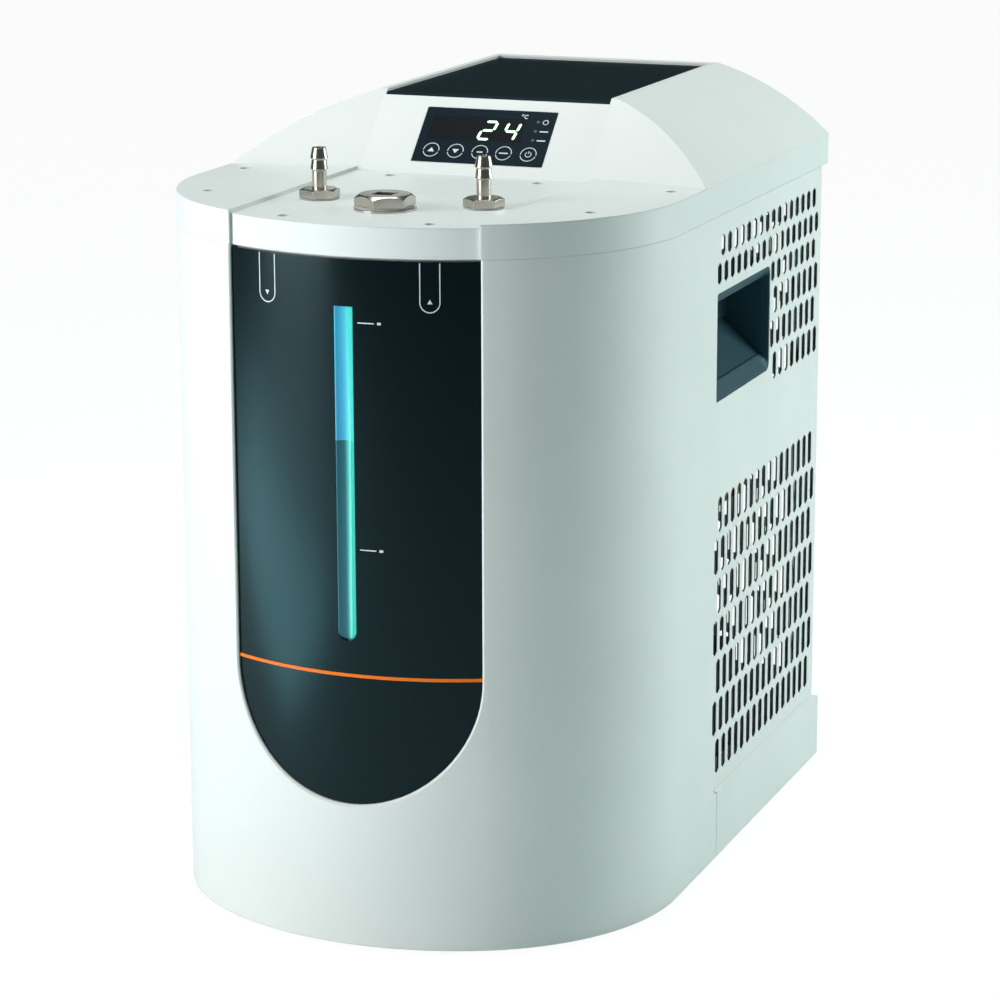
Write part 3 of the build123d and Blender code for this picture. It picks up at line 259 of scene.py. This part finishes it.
# %% Metals
def metal(name, colour, roughness, grain=(1.0, 1.0, 1.0), streak=0.10, edge=0.0003, dark=0.25):
    sheet = Sheet(name)
    lines = sheet.noise(900.0, 3.0, 0.6, sheet.stretched(*grain))
    cloud = sheet.noise(60.0, 3.0)
    shade = tuple(part * (1 - dark) for part in colour)
    sheet.set(
        Base_Color=sheet.mixed((cloud - 0.3) * 1.6, colour, shade),
        Metallic=1.0,
        Roughness=(roughness + (lines - 0.5) * streak + (cloud - 0.5) * 0.08).clamped(0.05, 0.9),
        Normal=sheet.bump(lines, 0.12, 0.00003, sheet.rounded(edge)),
    )
    return sheet.material


nickel = metal("nickel_plate", (0.60, 0.55, 0.49), 0.22, grain=(1, 1, 6), edge=0.0004)
steel = metal("zinc_steel", (0.74, 0.76, 0.76), 0.40)
copper = metal("copper_tube", (0.78, 0.36, 0.20), 0.28, dark=0.4)
brass = metal("brass_body", (0.80, 0.55, 0.18), 0.27)
fins = metal("aluminium_fins", (0.72, 0.73, 0.74), 0.40, grain=(1, 1, 0.2))


def painted(name, colour, roughness):
    sheet = Sheet(name)
    sheet.set(
        Base_Color=sheet.mixed(sheet.noise(40.0), colour, tuple(part * 0.8 for part in colour)),
        Roughness=roughness,
        Normal=sheet.bump(sheet.noise(500.0), 0.25, 0.00008, sheet.rounded(0.0006)),
    )
    return sheet.material


black_steel = painted("black_enamel", (0.014, 0.014, 0.016), 0.33)
rubber = painted("black_rubber", (0.012, 0.012, 0.012), 0.72)
pale_seal = painted("pale_rubber", (0.42, 0.45, 0.45), 0.60)
foam = painted("cell_foam", (0.018, 0.018, 0.020), 0.90)
hose = painted("hose_rubber", (0.030, 0.032, 0.035), 0.55)
board = painted("circuit_board", (0.012, 0.075, 0.030), 0.45)
print("metals and rubbers:", 11)

# %% [markdown]
# ## Materials onto the solids
# Every solid part gets one of the materials above. The meshes stay as they are.

# %% Assigning
coats = {
    "base_tray": white, "front_shell": shell_white, "rear_panel": white, "top_cover": cover_white,
    "front_window": slate, "accent_stripe": orange, "level_gauge": gauge.material,
    "top_mat": mat, "display_fascia": fascia, "display_lens": lens.material,
    "handle_cup_left": grip, "handle_cup_right": grip,
    "controller_housing": black, "pump_housing": black, "pump_impeller": black,
    "terminal_cover": black, "fan_blade": black, "mains_inlet": black,
    "switch_frame": black, "mains_rocker": black, "drain_knob": black,
    "return_nozzle": nickel, "supply_nozzle": nickel, "nozzle_nuts": nickel,
    "filler_neck": nickel, "filler_plug": nickel, "inlet_pins": nickel,
    "deck_screws": steel, "rear_screws": steel, "chassis_frame": steel, "pump_bracket": steel,
    "compressor_bolts": steel, "fan_shaft": steel, "plate_exchanger": steel,
    "rubber_feet": rubber, "nozzle_seals": pale_seal,
    "filler_seal": pale_seal, "compressor_grommets": rubber,
    "reservoir_tank": tank.material, "tank_lid": tank.material, "tank_foam": foam,
    "suction_hose": hose, "pressure_hose": hose, "supply_hose": hose, "return_hose": hose,
    "compressor": black_steel, "fan_shroud": black_steel,
    "fan_motor": black_steel, "pump_motor": black_steel,
    "condenser_fins": fins, "condenser_coil": copper, "filter_drier": copper,
    "discharge_line": copper, "liquid_line": copper,
    "capillary_line": copper, "suction_line": copper,
    "service_valve": brass, "drain_valve": brass, "power_board": board,
}
for name, solid in nodes.items():
    solid.data.materials.clear()
    solid.data.materials.append(coats[name])
print("solids with a material:", len(coats))

# %% [markdown]
# ## Flat marks as thin meshes
# A mark is a closed outline on a surface, given a little thickness. `on_window` maps a
# place on the front to the curved window and `on_slope` maps one to the 45 degree face.
# The points of a line are spaced closely, so that it follows the curve.

# %% Mark helpers
RADIUS = 0.162
WINDOW_INSET = 0.002
CENTRE = 0.203
FACE_Y = 0.1827 - CENTRE
DECK = 0.390
root_half = math.sqrt(0.5)


def on_window(x, z, lift=0.0):
    reach = RADIUS - WINDOW_INSET + lift
    angle = x / (RADIUS - WINDOW_INSET)
    return Vector((reach * math.sin(angle), RADIUS - CENTRE - reach * math.cos(angle), z))


def on_slope(x, v, lift=0.0):
    return Vector((x, FACE_Y + (v - lift) * root_half, DECK + (v + lift) * root_half))


def slab_mesh(name, outlines, place, low, high, material, body="housing"):
    """One mesh of flat plates: each outline is a list of (across, up) points."""
    corners = []
    faces = []
    for outline in outlines:
        count = len(outline)
        base = len(corners)
        corners += [place(u, v, low) for u, v in outline]
        corners += [place(u, v, high) for u, v in outline]
        faces.append([base + i for i in reversed(range(count))])
        faces.append([base + count + i for i in range(count)])
        for i in range(count):
            j = (i + 1) % count
            faces.append([base + i, base + j, base + count + j, base + count + i])
    mesh = bpy.data.meshes.new(name)
    mesh.from_pydata([tuple(corner) for corner in corners], [], faces)
    mesh.materials.append(material)
    mesh.update()
    piece = bpy.data.objects.new(name, mesh)
    bpy.context.scene.collection.objects.link(piece)
    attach(piece, body)
    return piece


def stroke(points, width):
    """Short quads along a line of (u, v) points, each with the line's width."""
    quads = []
    for (u0, v0), (u1, v1) in zip(points, points[1:]):
        along = Vector((u1 - u0, v1 - v0)).normalized() * width / 2
        side = Vector((-along.y, along.x))
        quads.append([
            (u0 + side.x, v0 + side.y), (u0 - side.x, v0 - side.y),
            (u1 - side.x, v1 - side.y), (u1 + side.x, v1 + side.y),
        ])
    return quads


def arc(u, v, radius, start, end, steps=24):
    turn = [math.radians(start + (end - start) * i / steps) for i in range(steps + 1)]
    return [(u + radius * math.cos(a), v + radius * math.sin(a)) for a in turn]


def disc(u, v, radius, steps=20):
    return arc(u, v, radius, 0, 360, steps)[:-1]


print("mark helpers ready")

# %% [markdown]
# ## Marks on the window and the controller
# On the window: two U-shaped outlines under the nozzles with a small arrow each, and two
# ticks beside the gauge. On the controller: five ringed keys, each ring in two arcs,
# three dark lamps with their marks, the degree sign and two lit digits.

# %% Print and light materials
def flat(name, colour, roughness=0.5, glow=0.0):
    sheet = Sheet(name)
    tint = sheet.mixed(sheet.noise(400.0), colour, tuple(part * 0.94 for part in colour))
    sheet.set(Base_Color=tint, Roughness=roughness)
    if glow:
        sheet.set(Emission_Color=tint, Emission_Strength=glow)
    return sheet.material


ink = flat("pale_ink", (0.70, 0.75, 0.76))
glow = flat("lit_digit", (0.62, 1.0, 0.70), 0.3, glow=1.1)
lamp = flat("lamp_off", (0.004, 0.006, 0.008), 0.3)

# %% Window marks
MM = 0.001
thin = 0.55 * MM
window_marks = []
for side in (-1, 1):
    mid = side * 45.7 * MM
    half = 5.1 * MM
    top = 370.2 * MM
    bend = 350.0 * MM
    down = [(mid - half, top - (top - bend) * i / 2) for i in range(3)]
    up = [(mid + half, bend + (top - bend) * i / 2) for i in range(3)]
    window_marks += stroke(down + arc(mid, bend, half, 180, 360)[1:-1] + up, thin)
    tip = 1.5 * MM * side
    window_marks.append([
        (mid - 1.3 * MM, 350.2 * MM - tip * 0.6), (mid + 1.3 * MM, 350.2 * MM - tip * 0.6),
        (mid, 350.2 * MM + tip),
    ][:: side])
for height in (338.4, 219.3):
    line = [((7.8 + i * 2.2) * MM, height * MM) for i in range(5)]
    window_marks += stroke(line, 0.6 * MM)
    window_marks += stroke([((18.3 + i) * MM, height * MM) for i in range(3)], 1.3 * MM)
slab_mesh("window_marks", window_marks, on_window, -0.00005, 0.00008, ink)
print("window marks:", len(window_marks))

# %% Controller marks
face = 0.0004
keys = [-28.8, -14.3, 0.2, 14.3, 28.9]
key_v = 13.6
lamp_heights = (36.0, 29.6, 23.3)
ring_radius = 4.55
bar_width = 0.8 * MM
line_width = 0.45 * MM
panel_marks = []
for across in keys:
    for first, last in ((-4, 184), (196, 344)):
        ring = arc(across * MM, key_v * MM, ring_radius * MM, first, last, 24)
        panel_marks += stroke(ring, line_width)
for across, turn in ((keys[0], 1), (keys[1], -1)):
    shape = [(-2.0, -1.2 * turn), (2.0, -1.2 * turn), (0.0, 1.6 * turn)][:: turn]
    panel_marks.append([((across + u) * MM, (key_v + v) * MM) for u, v in shape])
panel_marks += stroke([((keys[2] + u) * MM, key_v * MM) for u in (-1.7, 1.7)], bar_width)
panel_marks += stroke([((keys[3] + u) * MM, key_v * MM) for u in (-2.6, 2.6)], bar_width)
panel_marks += stroke(arc(keys[4] * MM, key_v * MM, 1.7 * MM, 125, 415, 24), line_width)
panel_marks += stroke([(keys[4] * MM, (key_v + v) * MM) for v in (0.4, 2.2)], line_width)
panel_marks += stroke(arc(33.4 * MM, lamp_heights[0] * MM, 1.5 * MM, 0, 360, 20), line_width)
for height in lamp_heights[1:]:
    panel_marks += stroke([(u * MM, height * MM) for u in (31.4, 36.4)], bar_width)
panel_marks += stroke(arc(18.9 * MM, 40.3 * MM, 0.55 * MM, 0, 360, 12), 0.35 * MM)
panel_marks += stroke(arc(21.3 * MM, 39.3 * MM, 1.2 * MM, 50, 310, 16), 0.5 * MM)
slab_mesh("panel_marks", panel_marks, on_slope, face - 0.00005, face + 0.00006, ink)

lamps = [disc(29.0 * MM, height * MM, 0.9 * MM) for height in lamp_heights]
slab_mesh("panel_lamps", lamps, on_slope, face - 0.00005, face + 0.0002, lamp)


def segments(corner_u, corner_v, wide, high, lean, lit):
    """Seven-segment digit: its lit bars as lozenges, leaning to the right."""
    half = high / 2
    bars = {
        "a": ((0, high), (wide, high)), "b": ((wide, half), (wide, high)),
        "c": ((wide, 0), (wide, half)),
        "d": ((0, 0), (wide, 0)), "e": ((0, 0), (0, half)), "f": ((0, half), (0, high)),
        "g": ((0, half), (wide, half)),
    }
    thick = 0.78
    gap = 0.35
    shapes = []
    for bar in lit:
        (u0, v0), (u1, v1) = bars[bar]
        along = Vector((u1 - u0, v1 - v0)).normalized()
        side = Vector((-along.y, along.x)) * thick
        first = Vector((u0, v0)) + along * gap
        last = Vector((u1, v1)) - along * gap
        outline = [
            first, first + along * thick - side, last - along * thick - side,
            last, last - along * thick + side, first + along * thick + side,
        ]
        shapes.append([((corner_u + p.x + lean * p.y) * MM, (corner_v + p.y) * MM) for p in outline])
    return shapes


digits = segments(-3.9, 22.6, 7.0, 12.2, 0.20, "abged")
digits += segments(9.9, 22.6, 7.0, 12.2, 0.20, "fgbc")
slab_mesh("lit_digits", digits, on_slope, face - 0.0003, face + 0.00004, glow)
print("controller marks:", len(panel_marks), "digits:", 2)

# %% [markdown]
# ## Studio
# A pale floor, a white surround for the camera, and four soft lights: a large one from
# the left and front, one from the right for the vented side, one from above and a dim
# card near the floor that the dark window reflects. The angle between the first two
# leaves the darker band where the front turns to the side. The floor tints what it
# bounces, and both floor and surround are whiter to the camera than to the part.

# %% Floor and world
floor_mesh = bpy.data.meshes.new("floor")
reach = 6.0
corners = [(-reach, -reach, 0), (reach, -reach, 0), (reach, reach, 0), (-reach, reach, 0)]
floor_mesh.from_pydata(corners, [], [(0, 1, 2, 3)])
floor = bpy.data.objects.new("floor", floor_mesh)
bpy.context.scene.collection.objects.link(floor)
ground = Sheet("pale_floor")
ground.set(
    Base_Color=ground.mixed(ground.noise(2.0), (0.74, 0.86, 0.86), (0.76, 0.88, 0.88)),
    Roughness=0.6,
    Specular_IOR_Level=0.1,
)
bright = ground.node("ShaderNodeEmission", {}, {"Color": (1.0, 1.0, 1.0), "Strength": 1.06})
seen = ground.node("ShaderNodeLightPath").outputs["Is Camera Ray"]
share = Value(ground, seen) * 0.9
blend = {0: share, 1: ground.shader.outputs[0], 2: bright.outputs[0]}
pale = ground.node("ShaderNodeMixShader", {}, blend)
ground.links.new(pale.outputs[0], ground.nodes["Material Output"].inputs["Surface"])
floor_mesh.materials.append(ground.material)

world = bpy.data.worlds.new("surround")
bpy.context.scene.world = world
world.use_nodes = True
tree = world.node_tree
dim = tree.nodes["Background"]
dim.inputs["Color"].default_value = (0.62, 0.92, 0.94, 1)
dim.inputs["Strength"].default_value = 0.10
clear = tree.nodes.new("ShaderNodeBackground")
clear.inputs["Color"].default_value = (1, 1, 1, 1)
path = tree.nodes.new("ShaderNodeLightPath")
choose = tree.nodes.new("ShaderNodeMixShader")
tree.links.new(path.outputs["Is Camera Ray"], choose.inputs[0])
tree.links.new(dim.outputs[0], choose.inputs[1])
tree.links.new(clear.outputs[0], choose.inputs[2])
tree.links.new(choose.outputs[0], tree.nodes["World Output"].inputs["Surface"])


# %% Lights
def soft(name, place, target, size, power, tint=(1.0, 1.0, 1.0)):
    light = bpy.data.lights.new(name, "AREA")
    light.shape = "RECTANGLE"
    light.size, light.size_y = size
    light.energy = power
    light.color = tint
    holder = bpy.data.objects.new(name, light)
    holder.location = place
    holder.rotation_euler = (Vector(target) - Vector(place)).to_track_quat("-Z", "Y").to_euler()
    bpy.context.scene.collection.objects.link(holder)


middle = (0.0, -0.05, 0.22)
soft("left_box", (-1.02, -1.22, 0.70), middle, (0.8, 1.2), 21.6, (1.0, 0.985, 0.985))
soft("right_box", (1.40, 0.95, 0.60), middle, (1.0, 1.2), 20.0, (0.91, 1.0, 0.97))
soft("top_box", (-0.1, 0.05, 1.9), middle, (1.2, 1.0), 18.0, (0.94, 1.0, 0.98))
soft("low_card", (-0.76, -0.60, 0.02), (-0.76, -0.60, 1.0), (0.9, 0.36), 4.2, (0.50, 0.92, 1.0))
print("lights:", 4)

# %% [markdown]
# ## Camera
# A long lens from in front and to the right, a little above the deck, solved from the
# places of known corners in the photograph.

# %% Camera
eye = bpy.data.cameras.new("eye")
eye.sensor_width = 36.0
eye.lens = 124.83
camera = bpy.data.objects.new("eye", eye)
right = Vector((0.93288102, 0.36017603, -0.00249696))
up = Vector((-0.08359105, 0.2232394, 0.97117285))
back = Vector((0.3503506, -0.90577999, 0.23836329))
turn = Matrix((right, up, back)).transposed().to_4x4()
camera.matrix_world = Matrix.Translation((0.6994, -1.5858 - CENTRE, 0.6704)) @ turn
bpy.context.scene.collection.objects.link(camera)
bpy.context.scene.camera = camera
bpy.context.scene.view_settings.view_transform = "Standard"
print("camera at", [round(part, 3) for part in camera.location])
